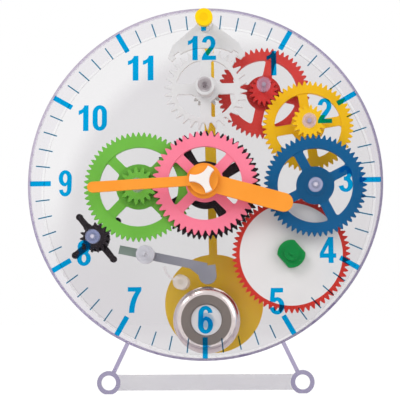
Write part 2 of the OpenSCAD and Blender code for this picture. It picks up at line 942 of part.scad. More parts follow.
// What is cut from the anchor: the teeth's path and a notch behind each pallet
module anchor_free() {
    polygon([escape_p, for (a = [-90:2:90]) round_wheel(free_r(a), a)]);
    for (side = [-1, 1]) polygon([
        escape_p, for (a = [pallet_a - 2 * pallet_w:1:pallet_a - pallet_w])
            round_wheel(free_r(a) + notch_h, side * a)
    ]);
}

module anchor() {
    color([0.96, 0.96, 0.97])
    leaning() difference() {
        union() {
            slab(escape_d, escape_d + anchor_t) difference() {
                union() {
                    at(pivot_p) circle(anchor_hub_r);
                    anchor_back();
                }
                anchor_free();
            }
            bar(pivot_p, anchor_boss_r, escape_d - anchor_boss_h, escape_d + anchor_t + anchor_boss_h);
        }
        bar(pivot_p, hanger_r, escape_d - 2 * anchor_boss_h, escape_d + anchor_t + 2 * anchor_boss_h);
    }
}

hanger_front_d = -3;

module pendulum_arbor() {
    color([0.7, 0.72, 0.75])
    bar(pivot_p, hanger_r, hanger_front_d, rod_d + rod_t);
}

top_cap_r = 6.1;
top_cap_t = 3.6;

module top_cap() {
    color([1, 0.84, 0])
    difference() {
        bar(pivot_p, top_cap_r, -gap - top_cap_t, -gap);
        bar(pivot_p, hanger_r, hanger_front_d, over);
    }
}

rod_w = [8, 6];
rod_step = 105;
rod_head_r = 5.4;
rod_taper = 8;
rod_boss_h = 2;
rod_in = 6;

module pendulum_rod() {
    color([0.95, 0.78, 0.12])
    leaning() difference() {
        union() {
            slab(rod_d, rod_d + rod_t) at(pivot_p) {
                circle(rod_head_r);
                translate([-rod_w[0] / 2, -rod_step]) square([rod_w[0], rod_step]);
                polygon([
                    [-rod_w[0] / 2, -rod_step + tiny], [rod_w[0] / 2, -rod_step + tiny],
                    [rod_w[1] / 2, -rod_step - rod_taper], [-rod_w[1] / 2, -rod_step - rod_taper]
                ]);
                translate([-rod_w[1] / 2, -pendulum_l + bob_r - rod_in])
                    square([rod_w[1], pendulum_l - rod_step - rod_taper - bob_r + rod_in + tiny]);
            }
            bar(pivot_p, boss_r, rod_d - rod_boss_h, rod_d + tiny);
        }
        bar(pivot_p, hanger_r, rod_d - rod_boss_h - over, rod_d + rod_t + over);
        slab(rod_d - over, rod_d + rod_t / 2) at(pivot_p) translate([0, -pendulum_l]) circle(bob_r);
    }
}

module pendulum_bob() {
    color([0.95, 0.78, 0.12])
    leaning() difference() {
        slab(rod_d + rod_t / 2 - bob_t / 2, rod_d + rod_t / 2 + bob_t / 2)
            at(pivot_p) translate([0, -pendulum_l]) circle(bob_r);
        slab(rod_d + rod_t / 2, rod_d + rod_t + bob_t) at(pivot_p)
            translate([-rod_w[1] / 2, -pendulum_l + bob_r - rod_in]) square([rod_w[1], 2 * rod_in]);
    }
}

dial_plate();
case_band();
back_plate();
foot_left();
foot_right();
cross_bar();
barrel_wheel();
barrel_lid();
mainspring();
winding_hub();
winding_arbor();
ratchet_wheel();
winding_key();
click();
click_spring();
centre_wheel();
centre_arbor();
cannon_pinion();
minute_hand();
hand_cap();
second_wheel();
second_pinion();
second_arbor();
third_wheel();
third_pinion();
third_arbor();
fourth_wheel();
fourth_pinion();
fourth_arbor();
escape_wheel();
escape_pinion();
escape_arbor();
minute_wheel();
minute_pinion();
minute_arbor();
hour_wheel();
hour_hand();
strike_pinion();
strike_star();
strike_arbor();
hammer_lever();
hammer_collar();
hammer_arbor();
hammer_stop();
bell();
bell_post();
bell_screw();
anchor();
pendulum_arbor();
top_cap();
pendulum_rod();
pendulum_bob();
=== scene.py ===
import json
import math

import bpy
from mathutils import Matrix, Vector


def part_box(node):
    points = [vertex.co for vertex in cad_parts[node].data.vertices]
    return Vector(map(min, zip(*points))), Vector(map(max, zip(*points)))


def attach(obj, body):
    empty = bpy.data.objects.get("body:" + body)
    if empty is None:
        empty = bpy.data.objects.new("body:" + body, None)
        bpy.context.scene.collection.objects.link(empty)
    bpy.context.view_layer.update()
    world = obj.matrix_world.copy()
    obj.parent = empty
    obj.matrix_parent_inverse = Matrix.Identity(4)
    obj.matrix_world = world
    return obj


print("loading the frame")
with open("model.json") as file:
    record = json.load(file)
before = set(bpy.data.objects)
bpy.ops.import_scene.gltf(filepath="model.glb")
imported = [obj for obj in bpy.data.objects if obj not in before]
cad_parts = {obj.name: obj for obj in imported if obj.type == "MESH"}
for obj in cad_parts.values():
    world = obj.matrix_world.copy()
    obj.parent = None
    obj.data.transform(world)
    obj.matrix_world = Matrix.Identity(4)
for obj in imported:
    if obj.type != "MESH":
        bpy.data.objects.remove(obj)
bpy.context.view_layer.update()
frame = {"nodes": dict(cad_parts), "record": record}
nodes = frame["nodes"]

mm = 0.001
dialLow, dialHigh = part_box("dial_plate")
dialFront = dialLow.y
dialX = (dialLow.x + dialHigh.x) / 2
dialZ = (dialLow.z + dialHigh.z) / 2
caseRadius = (dialHigh.x - dialLow.x) / 2


def nodeCentre(name):
    low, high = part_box(name)
    return (low + high) / 2


# selecting and finishing


def deselectAll():
    if bpy.context.object and bpy.context.object.mode != "OBJECT":
        bpy.ops.object.mode_set(mode="OBJECT")
    bpy.ops.object.select_all(action="DESELECT")


def makeActive(obj):
    deselectAll()
    obj.select_set(True)
    bpy.context.view_layer.objects.active = obj


# Leaves the object at the origin with its place in its mesh
def settle(obj):
    makeActive(obj)
    bpy.ops.object.transform_apply(location=True, rotation=True, scale=True)


def joinAll(parts, name):
    makeActive(parts[0])
    for part in parts[1:]:
        part.select_set(True)
    if len(parts) > 1:
        bpy.ops.object.join()
    whole = bpy.context.object
    whole.name = name
    whole.data.name = name
    return whole


def finishPiece(obj, body, material):
    settle(obj)
    obj.data.materials.clear()
    obj.data.materials.append(material)
    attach(obj, body)
    return obj


# shared shader groups


def newGroup(name, inputs, outputs):
    group = bpy.data.node_groups.new(name, "ShaderNodeTree")
    for kind, label, value in inputs:
        socket = group.interface.new_socket(name=label, in_out="INPUT", socket_type=kind)
        if value is not None:
            socket.default_value = value
    for kind, label in outputs:
        group.interface.new_socket(name=label, in_out="OUTPUT", socket_type=kind)
    entry = group.nodes.new("NodeGroupInput")
    leave = group.nodes.new("NodeGroupOutput")
    return group, entry, leave


def feed(tree, socket, value):
    if hasattr(value, "links"):
        tree.links.new(value, socket)
    else:
        socket.default_value = value


def sums(tree, operation, first, second=None):
    node = tree.nodes.new("ShaderNodeMath")
    node.operation = operation
    feed(tree, node.inputs[0], first)
    if second is not None:
        feed(tree, node.inputs[1], second)
    return node.outputs[0]


def mixColour(tree, factor, first, second):
    node = tree.nodes.new("ShaderNodeMix")
    node.data_type = "RGBA"
    feed(tree, node.inputs["Factor"], factor)
    feed(tree, node.inputs[6], first)  # sockets 6 and 7 are the colours A and B
    feed(tree, node.inputs[7], second)
    return node.outputs[2]


def noise(tree, vector, scale, detail=2.0):
    node = tree.nodes.new("ShaderNodeTexNoise")
    node.inputs["Scale"].default_value = scale
    node.inputs["Detail"].default_value = detail
    tree.links.new(vector, node.inputs["Vector"])
    return node.outputs["Fac"]


def smoothStep(tree, value, start, end):
    node = tree.nodes.new("ShaderNodeMapRange")
    node.interpolation_type = "SMOOTHSTEP"
    feed(tree, node.inputs["From Min"], start)
    feed(tree, node.inputs["From Max"], end)
    tree.links.new(value, node.inputs["Value"])
    return node.outputs["Result"]


# Noise drawn out into soft patches
def clouds(tree, place, scale, detail=2.0, start=0.35):
    return smoothStep(tree, noise(tree, place, scale, detail), start, 0.7)


def opposite(tree, value):
    return sums(tree, "SUBTRACT", 1.0, value)


def axes(tree, place):
    split = tree.nodes.new("ShaderNodeSeparateXYZ")
    tree.links.new(place, split.inputs[0])
    return split.outputs["X"], split.outputs["Y"], split.outputs["Z"]


# Distance from a line that runs front to back through x, z
def reachFrom(tree, place, x, z):
    placeX, _, placeZ = axes(tree, place)
    offX = sums(tree, "SUBTRACT", placeX, x)
    offZ = sums(tree, "SUBTRACT", placeZ, z)
    squares = sums(tree, "ADD", sums(tree, "MULTIPLY", offX, offX), sums(tree, "MULTIPLY", offZ, offZ))
    return sums(tree, "SQRT", squares)


mouldedSkin = {
    "cloudScale": 45,
    "sinkScale": 160,
    "sinkHeight": 3.0,
    "grainScale": 1400,
    "grainRoughness": 0.12,
}


# Moulded plastic: cloudy colour, a little sink and a fine grain
def buildMouldedGroup(form):
    group, entry, leave = newGroup(
        "mouldedPlastic",
        [
            ("NodeSocketVector", "Place", None),
            ("NodeSocketColor", "Colour", (0.8, 0.8, 0.8, 1)),
            ("NodeSocketColor", "Shade", (0.6, 0.6, 0.6, 1)),
            ("NodeSocketFloat", "Cloud", 0.3),
            ("NodeSocketFloat", "Roughness", 0.35),
        ],
        [("NodeSocketColor", "Colour"), ("NodeSocketFloat", "Roughness"), ("NodeSocketFloat", "Height")],
    )
    place = entry.outputs["Place"]
    tone = sums(group, "MULTIPLY", clouds(group, place, form["cloudScale"]), entry.outputs["Cloud"])
    colour = mixColour(group, tone, entry.outputs["Colour"], entry.outputs["Shade"])
    fine = noise(group, place, form["grainScale"], 1.0)
    rough = sums(group, "MULTIPLY", fine, form["grainRoughness"])
    sink = sums(group, "MULTIPLY", noise(group, place, form["sinkScale"]), form["sinkHeight"])
    feed(group, leave.inputs["Colour"], colour)
    feed(group, leave.inputs["Roughness"], sums(group, "ADD", entry.outputs["Roughness"], rough))
    feed(group, leave.inputs["Height"], sums(group, "ADD", fine, sink))
    return group


# A mask that is 1 within Radius of a line from front to back, and falls off over Soft
def buildDiscGroup():
    group, entry, leave = newGroup(
        "discMask",
        [
            ("NodeSocketVector", "Place", None),
            ("NodeSocketFloat", "CentreX", 0.0),
            ("NodeSocketFloat", "CentreZ", 0.0),
            ("NodeSocketFloat", "Radius", 0.01),
            ("NodeSocketFloat", "Soft", 0.001),
        ],
        [("NodeSocketFloat", "Mask")],
    )
    reach = reachFrom(group, entry.outputs["Place"], entry.outputs["CentreX"], entry.outputs["CentreZ"])
    outer = sums(group, "ADD", entry.outputs["Radius"], entry.outputs["Soft"])
    inside = smoothStep(group, reach, entry.outputs["Radius"], outer)
    feed(group, leave.inputs["Mask"], opposite(group, inside))
    return group


# Radius of each part of a boss, and the width over which it fades
bossForm = {"Ring": (4.7 * mm, 0.4 * mm), "Core": (2.8 * mm, 0.7 * mm), "Tip": (0.7 * mm, 1.2 * mm)}


# A moulded bearing boss: its ring, its darker core and a painted highlight on the arbor's tip
def buildBossGroup(form):
    group, entry, leave = newGroup(
        "bossMasks",
        [
            ("NodeSocketVector", "Place", None),
            ("NodeSocketFloat", "CentreX", 0.0),
            ("NodeSocketFloat", "CentreZ", 0.0),
        ],
        [("NodeSocketFloat", label) for label in form],
    )
    reach = reachFrom(group, entry.outputs["Place"], entry.outputs["CentreX"], entry.outputs["CentreZ"])
    for label, (radius, soft) in form.items():
        far = smoothStep(group, reach, radius, radius + soft)
        feed(group, leave.inputs[label], opposite(group, far))
    return group


print("building the shader groups")
mouldedGroup = buildMouldedGroup(mouldedSkin)
discGroup = buildDiscGroup()
bossGroup = buildBossGroup(bossForm)


def newMaterial(name):
    material = bpy.data.materials.new(name)
    material.use_nodes = True
    tree = material.node_tree
    shader = tree.nodes["Principled BSDF"]
    coords = tree.nodes.new("ShaderNodeTexCoord")
    return material, tree, shader, coords.outputs["Object"]


def mixShaders(tree, factor, first, second, output):
    mix = tree.nodes.new("ShaderNodeMixShader")
    feed(tree, mix.inputs["Fac"], factor)
    tree.links.new(first.outputs[0], mix.inputs[1])
    tree.links.new(second.outputs[0], mix.inputs[2])
    tree.links.new(mix.outputs[0], output.inputs["Surface"])


def setGloss(shader, roughness, specular):
    if roughness is not None:
        shader.inputs["Roughness"].default_value = roughness
    shader.inputs["Specular IOR Level"].default_value = specular


def darker(colour, share):
    return tuple(c * share for c in colour[:3]) + (1,)


def placeGroup(tree, group, place, **values):
    node = tree.nodes.new("ShaderNodeGroup")
    node.node_tree = group
    tree.links.new(place, node.inputs["Place"])
    for label, value in values.items():
        feed(tree, node.inputs[label], value)
    return node


def disc(tree, place, x, z, radius, soft):
    return placeGroup(tree, discGroup, place, CentreX=x, CentreZ=z, Radius=radius, Soft=soft).outputs["Mask"]


def addBump(tree, shader, height, strength, distance):
    bump = tree.nodes.new("ShaderNodeBump")
    bump.inputs["Strength"].default_value = strength
    bump.inputs["Distance"].default_value = distance
    tree.links.new(height, bump.inputs["Height"])
    tree.links.new(bump.outputs["Normal"], shader.inputs["Normal"])


# Coloured moulded plastic; hub is (x, z, radius) of a middle darkened with painted shade
def plasticMaterial(name, form, hub=None):
    material, tree, shader, place = newMaterial(name)
    skin = placeGroup(tree, mouldedGroup, place, Colour=form["colour"], Shade=form["shade"],
                      Cloud=form["cloud"], Roughness=form["roughness"])
    colour = skin.outputs["Colour"]
    if hub:
        # Painted shade: the hub disc is darkened towards the shade colour
        inner = disc(tree, place, hub[0], hub[1], hub[2], form["hubSoft"])
        colour = mixColour(tree, sums(tree, "MULTIPLY", inner, form["hubShade"]), colour, form["shade"])
    feed(tree, shader.inputs["Base Color"], colour)
    feed(tree, shader.inputs["Roughness"], skin.outputs["Roughness"])
    setGloss(shader, None, form["specular"])
    # Painted light: a glow of the surface's own colour
    if form["glow"]:
        feed(tree, shader.inputs["Emission Color"], colour)
        shader.inputs["Emission Strength"].default_value = form["glow"]
    addBump(tree, shader, skin.outputs["Height"], form["grain"], form["grainDepth"])
    return material


# Colours of the plastic pieces, in linear light; shade is the tone of the clouds and of the painted shade on
# the hubs
plastics = {
    "red": {"colour": (0.61, 0.05, 0.042, 1), "shade": (0.46, 0.024, 0.022, 1)},
    "redPinion": {"colour": (0.56, 0.03, 0.028, 1), "shade": (0.46, 0.02, 0.018, 1)},
    "barrelRed": {"colour": (0.54, 0.03, 0.02, 1), "shade": (0.44, 0.018, 0.012, 1)},
    "yellow": {"colour": (0.82, 0.46, 0.004, 1), "shade": (0.7, 0.36, 0.002, 1)},
    "paleYellow": {"colour": (0.82, 0.48, 0.006, 1), "shade": (0.74, 0.41, 0.004, 1)},
    "blue": {"colour": (0.0, 0.09, 0.24, 1), "shade": (0.0, 0.066, 0.17, 1)},
    "paleBlue": {"colour": (0.0, 0.12, 0.3, 1), "shade": (0.0, 0.09, 0.24, 1)},
    "green": {"colour": (0.15, 0.46, 0.055, 1), "shade": (0.115, 0.36, 0.04, 1)},
    "paleGreen": {"colour": (0.16, 0.48, 0.06, 1), "shade": (0.12, 0.4, 0.045, 1)},
    "pink": {"colour": (0.9, 0.22, 0.325, 1), "shade": (0.83, 0.15, 0.24, 1)},
    "black": {"colour": (0.018, 0.013, 0.016, 1), "shade": (0.008, 0.006, 0.008, 1)},
    "orange": {"colour": (0.89, 0.315, 0.035, 1), "shade": (0.87, 0.26, 0.018, 1)},
    "deepGreen": {"colour": (0.0, 0.23, 0.045, 1), "shade": (0.0, 0.15, 0.035, 1)},
    "white": {"colour": (0.66, 0.65, 0.655, 1), "shade": (0.63, 0.62, 0.625, 1)},
    "lidWhite": {"colour": (0.72, 0.7, 0.7, 1), "shade": (0.67, 0.65, 0.655, 1)},
    "capWhite": {"colour": (0.86, 0.8, 0.76, 1), "shade": (0.76, 0.7, 0.67, 1)},
    "pendulumYellow": {"colour": (0.98, 0.64, 0.002, 1), "shade": (0.9, 0.52, 0.001, 1)},
    "capYellow": {"colour": (0.9, 0.61, 0.0, 1), "shade": (0.85, 0.5, 0.0, 1)},
}
plasticFinish = {
    "cloud": 0.35,
    "roughness": 0.36,
    "specular": 0.12,
    "grain": 0.25,
    "grainDepth": 0.04 * mm,
    "hubShade": 0.75,
    "hubSoft": 1.2 * mm,
    "glow": 0,
}


def plasticOf(name, key, hub=None, **extra):
    return plasticMaterial(name, {**plasticFinish, **plastics[key], **extra}, hub)


def hubOf(node, radius):
    centre = nodeCentre(node)
    return (centre.x, centre.z, radius)


# clear plastic

# The rim's painted light and painted shade turn along a line to the lower right, at these shares of the
# case's radius
clearDial = {
    "tint": (0.34, 0.3, 0.36, 1),
    "faceAlpha": 0.006,
    "faceCloud": 0.003,
    "cloudScale": 9,
    "rimMiddle": (0.22, 0.17, 0.34, 1),
    "rimPaintedShade": (0.09, 0.055, 0.18, 1),
    "rimPaintedLight": (0.42, 0.35, 0.48, 1),
    "paintedLightShare": (-1.35, -0.4),
    "darkShare": (-0.1, 1.2),
    "rimAlpha": 0.6,
    "rimWidth": 2.1 * mm,
    "rimSoft": 0.735 * mm,
    "coreShade": 0.72,
    "coreStrength": 0.8,
    "paintedHighlightTint": (0.8, 0.74, 0.86, 1),
    "roughness": 0.08,
    "specular": 0.04,
}
# Tone of each boss of the dial, how strongly it shows, and how strong the painted highlight on the arbor's
# tip is
bosses = {
    "second_arbor": ((0.5, 0.48, 0.64, 1), 0.44, 0.9),
    "third_arbor": ((0.5, 0.4, 0.6, 1), 0.42, 0.2),
    "fourth_arbor": ((0.42, 0.3, 0.42, 1), 0.42, 0.1),
    "escape_arbor": ((0.2, 0.14, 0.16, 1), 0.4, 0.0),
    "minute_arbor": ((0.4, 0.34, 0.5, 1), 0.36, 0.3),
    "strike_arbor": ((0.34, 0.38, 0.62, 1), 0.42, 0.9),
    "hammer_arbor": ((0.66, 0.64, 0.72, 1), 0.16, 0.0),
}


# Clear dial: thin haze, a lavender rim with painted light towards the upper left and painted shade towards
# the lower right, and bosses with painted highlights
def dialMaterial(form):
    material, tree, shader, place = newMaterial("clearDial")
    placeX, _, placeZ = axes(tree, place)
    slope = sums(tree, "SUBTRACT", placeX, placeZ)
    middle = dialX - dialZ
    # Painted light and shade: the rim is paler towards the upper left and darker towards the lower right
    paintedShadeSide = smoothStep(tree, slope, *(middle + share * caseRadius for share in form["darkShare"]))
    paintedLightSide = smoothStep(tree, slope, *(middle + share * caseRadius for share in form["paintedLightShare"]))
    rimTone = mixColour(tree, paintedShadeSide, form["rimMiddle"], form["rimPaintedShade"])
    rimTone = mixColour(tree, paintedLightSide, form["rimPaintedLight"], rimTone)
    body = disc(tree, place, dialX, dialZ, caseRadius - form["rimWidth"], form["rimSoft"])
    edge = opposite(tree, body)
    colour = mixColour(tree, edge, form["tint"], rimTone)
    cloud = clouds(tree, place, form["cloudScale"], 1.0, 0.3)
    alpha = sums(tree, "ADD", sums(tree, "MULTIPLY", cloud, form["faceCloud"]), form["faceAlpha"])
    alpha = sums(tree, "MAXIMUM", alpha, sums(tree, "MULTIPLY", edge, form["rimAlpha"]))
    for name, (tone, strength, highlightShare) in bosses.items():
        centre = nodeCentre(name)
        masks = placeGroup(tree, bossGroup, place, CentreX=centre.x, CentreZ=centre.z).outputs
        core = sums(tree, "MULTIPLY", masks["Core"], form["coreStrength"])
        colour = mixColour(tree, masks["Ring"], colour, tone)
        colour = mixColour(tree, core, colour, darker(tone, form["coreShade"]))
        # Painted highlight: a pale spot on the arbor's tip in the middle of the boss
        colour = mixColour(tree, sums(tree, "MULTIPLY", masks["Tip"], highlightShare), colour, form["paintedHighlightTint"])
        alpha = sums(tree, "MAXIMUM", alpha, sums(tree, "MULTIPLY", masks["Ring"], strength))
    feed(tree, shader.inputs["Base Color"], colour)
    feed(tree, shader.inputs["Alpha"], alpha)
    setGloss(shader, form["roughness"], form["specular"])
    return material


clearDrum = {
    "tint": (0.12, 0.055, 0.12, 1),
    "tintShade": (0.17, 0.12, 0.18, 1),
    "bandTint": (0.26, 0.16, 0.33, 1),
    "alpha": 0.168,
    "lightAlpha": 0.065,
    "lightFrom": (dialX + 30 * mm, dialZ - 28 * mm),
    "lightReach": (126 * mm, 147 * mm),
    "lightHeight": (dialZ - 70 * mm, dialZ),
    "lowShadeAlpha": 0.035,
    "lowShadeHeight": (dialZ - 90 * mm, dialZ + 10 * mm),
    "cloudAlpha": 0.012,
    "cloudScale": 11,
    "bandAlpha": 0.2,
    "bandCloud": 0.03,
    "bandShadeAlpha": 0.17,
    "bandShadeReach": (100 * mm, 158 * mm),
    "bandEnd": (0.05 * mm, 0.2 * mm),
    "bandSkin": (0.6 * mm, 0.3 * mm),
    "endAlpha": 0.01,
    "roughness": 0.1,
    "specular": 0.04,
    "bandSpecular": 0.0,
}


# Clear back plate: its haze thinned with painted light towards the upper left, and a little denser low down
# with painted shade
def backMaterial(form):
    material, tree, shader, place = newMaterial("clearBack")
    _, _, placeZ = axes(tree, place)
    # Painted light: the haze thins in a crescent towards the upper left
    light = smoothStep(tree, reachFrom(tree, place, *form["lightFrom"]), *form["lightReach"])
    light = sums(tree, "MULTIPLY", light, smoothStep(tree, placeZ, *form["lightHeight"]))
    thinner = sums(tree, "MULTIPLY", light, form["alpha"] - form["lightAlpha"])
    # Painted shade: the haze grows denser low down
    low = opposite(tree, smoothStep(tree, placeZ, *form["lowShadeHeight"]))
    cloud = clouds(tree, place, form["cloudScale"], 1.0)
    alpha = sums(tree, "SUBTRACT", form["alpha"], thinner)
    alpha = sums(tree, "ADD", alpha, sums(tree, "MULTIPLY", low, form["lowShadeAlpha"]))
    alpha = sums(tree, "SUBTRACT", alpha, sums(tree, "MULTIPLY", cloud, form["cloudAlpha"]))
    feed(tree, shader.inputs["Alpha"], alpha)
    feed(tree, shader.inputs["Base Color"], mixColour(tree, cloud, form["tint"], form["tintShade"]))
    setGloss(shader, form["roughness"], form["specular"])
    return material


# Clear band: a pale lavender outer wall, clean inside and at the ends that meet the plates, with painted
# shade that makes it denser towards the lower right
def bandMaterial(form):
    low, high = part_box("case_band")
    material, tree, shader, place = newMaterial("clearBand")
    _, placeY, _ = axes(tree, place)
    nearEnd, farEnd = form["bandEnd"]
    wall = smoothStep(tree, placeY, low.y + nearEnd, low.y + farEnd)
    back = opposite(tree, smoothStep(tree, placeY, high.y - farEnd, high.y - nearEnd))
    wall = sums(tree, "MULTIPLY", wall, back)
    reach = reachFrom(tree, place, dialX, dialZ)
    skin = smoothStep(tree, reach, *(caseRadius - depth for depth in form["bandSkin"]))
    wall = sums(tree, "MULTIPLY", wall, skin)
    # Painted shade: the wall grows denser towards the lower right
    away = smoothStep(tree, reachFrom(tree, place, *form["lightFrom"]), *form["bandShadeReach"])
    dense = sums(tree, "MULTIPLY", opposite(tree, away), form["bandShadeAlpha"])
    cloud = sums(tree, "MULTIPLY", noise(tree, place, form["cloudScale"], 1.0), form["bandCloud"])
    dense = sums(tree, "ADD", sums(tree, "SUBTRACT", form["bandAlpha"], cloud), dense)
    alpha = sums(tree, "MULTIPLY", wall, dense)
    feed(tree, shader.inputs["Alpha"], sums(tree, "MAXIMUM", alpha, form["endAlpha"]))
    feed(tree, shader.inputs["Base Color"], mixColour(tree, wall, form["tintShade"], form["bandTint"]))
    setGloss(shader, form["roughness"], form["bandSpecular"])
    return material


clearStand = {
    "ringTint": (0.1, 0.06, 0.23, 1),
    "legTint": (0.2, 0.145, 0.34, 1),
    "sideTint": (0.5, 0.45, 0.62, 1),
    "faceAlpha": 0.82,
    "sideAlpha": 0.045,
    "faceDepth": 0.5 * mm,
    "ringRadius": 8.6 * mm,
    "ringSoft": 0.6 * mm,
    "cloudScale": 60,
    "cloudAlpha": 0.12,
    "roughness": 0.14,
    "specular": 0.12,
}


# Clear stand: it shows by its polished front edge, and its walls behind nearly vanish
def standMaterial(name, node, bore, form):
    low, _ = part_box(node)
    material, tree, shader, place = newMaterial(name)
    _, placeY, _ = axes(tree, place)
    depth = form["faceDepth"]
    front = opposite(tree, smoothStep(tree, placeY, low.y + depth, low.y + 2 * depth))
    ring = disc(tree, place, bore[0], bore[2], form["ringRadius"], form["ringSoft"])
    tone = mixColour(tree, ring, form["legTint"], form["ringTint"])
    cloud = sums(tree, "MULTIPLY", noise(tree, place, form["cloudScale"]), form["cloudAlpha"])
    span = form["faceAlpha"] - form["sideAlpha"]
    alpha = sums(tree, "ADD", sums(tree, "MULTIPLY", front, span), form["sideAlpha"])
    feed(tree, shader.inputs["Alpha"], sums(tree, "SUBTRACT", alpha, sums(tree, "MULTIPLY", front, cloud)))
    feed(tree, shader.inputs["Base Color"], mixColour(tree, front, form["sideTint"], tone))
    setGloss(shader, form["roughness"], form["specular"])
    return material


frosted = {
    "bar": {"tint": (0.68, 0.665, 0.7, 1), "shade": (0.6, 0.585, 0.63, 1), "alpha": 0.8},
    "post": {"tint": (0.74, 0.7, 0.72, 1), "shade": (0.6, 0.56, 0.58, 1), "alpha": 0.5},
    "collar": {"tint": (0.62, 0.61, 0.66, 1), "shade": (0.55, 0.54, 0.6, 1), "alpha": 0.78},
}
frostedFinish = {
    "cloudScale": 70,
    "cloudTone": 0.4,
    "cloudAlpha": 0.06,
    "roughness": 0.25,
    "cloudRoughness": 0.1,
    "specular": 0.15,
    "dotTone": (0.4, 0.36, 0.3, 1),
    "dotStrength": 0.6,
    "dotAlpha": 0.7,
    "dotSoft": 0.8 * mm,
}


# Whitish see-through plastic; dot is (x, z, radius) of a darker centre
def frostedMaterial(name, key, dot=None):
    form = {**frostedFinish, **frosted[key]}
    material, tree, shader, place = newMaterial(name)
    cloud = clouds(tree, place, form["cloudScale"])
    tone = sums(tree, "MULTIPLY", cloud, form["cloudTone"])
    colour = mixColour(tree, tone, form["tint"], form["shade"])
    alpha = sums(tree, "ADD", sums(tree, "MULTIPLY", cloud, form["cloudAlpha"]), form["alpha"])
    rough = sums(tree, "ADD", sums(tree, "MULTIPLY", cloud, form["cloudRoughness"]), form["roughness"])
    if dot:
        middle = disc(tree, place, dot[0], dot[1], dot[2], form["dotSoft"])
        dotTone = sums(tree, "MULTIPLY", middle, form["dotStrength"])
        colour = mixColour(tree, dotTone, colour, form["dotTone"])
        alpha = sums(tree, "MAXIMUM", alpha, sums(tree, "MULTIPLY", middle, form["dotAlpha"]))
    feed(tree, shader.inputs["Base Color"], colour)
    feed(tree, shader.inputs["Alpha"], alpha)
    feed(tree, shader.inputs["Roughness"], rough)
    setGloss(shader, None, form["specular"])
    return material


lever = {
    "tone": (0.24, 0.24, 0.28, 1),
    "toneShade": (0.175, 0.175, 0.21, 1),
    "tailTone": (0.2, 0.25, 0.225, 1),
    "tailStart": 4.5 * mm,
    "tailSoft": 2 * mm,
    "cloud": 0.5,
    "roughness": 0.34,
    "specular": 0.3,
    "grain": 0.2,
}


# Grey hammer lever, greener at its tail
def leverMaterial(form):
    material, tree, shader, place = newMaterial("greyLever")
    skin = placeGroup(tree, mouldedGroup, place, Colour=form["tone"], Shade=form["toneShade"],
                      Cloud=form["cloud"], Roughness=form["roughness"])
    placeX, _, _ = axes(tree, place)
    start = nodeCentre("hammer_arbor").x - form["tailStart"]
    tail = opposite(tree, smoothStep(tree, placeX, start - form["tailSoft"], start))
    feed(tree, shader.inputs["Base Color"], mixColour(tree, tail, skin.outputs["Colour"], form["tailTone"]))
    feed(tree, shader.inputs["Roughness"], skin.outputs["Roughness"])
    setGloss(shader, None, form["specular"])
    addBump(tree, shader, skin.outputs["Height"], form["grain"], plasticFinish["grainDepth"])
    return material


steel = {
    "colour": (0.55, 0.56, 0.58, 1),
    "darkShare": 0.8,
    "roughness": 0.28,
    "speckScale": 420,
    "speckTone": 0.4,
    "speckRoughness": 0.1,
    "grain": 0.08,
    "grainDepth": 0.03 * mm,
}


# Drawn steel of the arbors, springs and clicks
def steelMaterial(form):
    material, tree, shader, place = newMaterial("drawnSteel")
    shader.inputs["Metallic"].default_value = 1.0
    speck = noise(tree, place, form["speckScale"], 3.0)
    tone = sums(tree, "MULTIPLY", speck, form["speckTone"])
    dark = darker(form["colour"], form["darkShare"])
    rough = sums(tree, "ADD", sums(tree, "MULTIPLY", speck, form["speckRoughness"]), form["roughness"])
    feed(tree, shader.inputs["Base Color"], mixColour(tree, tone, form["colour"], dark))
    feed(tree, shader.inputs["Roughness"], rough)
    addBump(tree, shader, speck, form["grain"], form["grainDepth"])
    return material


bell = {
    "chrome": (0.72, 0.64, 0.63, 1),
    "chromeShade": (0.5, 0.42, 0.41, 1),
    "ring": (0.19, 0.16, 0.145, 1),
    "middle": (0.66, 0.64, 0.66, 1),
    "ringInner": 10.4 * mm,
    "innerSoft": 0.5 * mm,
    "ringOuter": 17.4 * mm,
    "outerSoft": 0.4 * mm,
    "paint": 0.7,
    "roughness": 0.16,
    "ringRoughness": 0.5,
    "specular": 0.3,
    "speckScale": 300,
    "speckTone": 0.4,
    "speckRoughness": 0.06,
    "grain": 0.06,
    "grainDepth": 0.03 * mm,
}


# Chrome bell with a matt grey ring round its pale middle
def bellMaterial(form):
    material, tree, shader, place = newMaterial("chromeBell")
    centre = nodeCentre("bell")
    outer = disc(tree, place, centre.x, centre.z, form["ringOuter"], form["outerSoft"])
    inner = disc(tree, place, centre.x, centre.z, form["ringInner"], form["innerSoft"])
    ring = sums(tree, "SUBTRACT", outer, inner)
    speck = noise(tree, place, form["speckScale"], 3.0)
    tone = sums(tree, "MULTIPLY", speck, form["speckTone"])
    colour = mixColour(tree, tone, form["chrome"], form["chromeShade"])
    colour = mixColour(tree, inner, colour, form["middle"])
    rough = sums(tree, "ADD", sums(tree, "MULTIPLY", outer, form["ringRoughness"]), form["roughness"])
    rough = sums(tree, "ADD", sums(tree, "MULTIPLY", speck, form["speckRoughness"]), rough)
    feed(tree, shader.inputs["Base Color"], mixColour(tree, ring, colour, form["ring"]))
    feed(tree, shader.inputs["Metallic"], opposite(tree, sums(tree, "MULTIPLY", outer, form["paint"])))
    feed(tree, shader.inputs["Roughness"], rough)
    setGloss(shader, None, form["specular"])
    addBump(tree, shader, speck, form["grain"], form["grainDepth"])
    return material


def dress(material, *names):
    for name in names:
        for slot in nodes[name].material_slots:
            slot.material = material


# Lamps and soft light pass a clear piece untouched, so it dims only what is seen through it
def passLight(*pieces):
    for piece in pieces:
        piece.visible_shadow = False
        piece.visible_diffuse = False


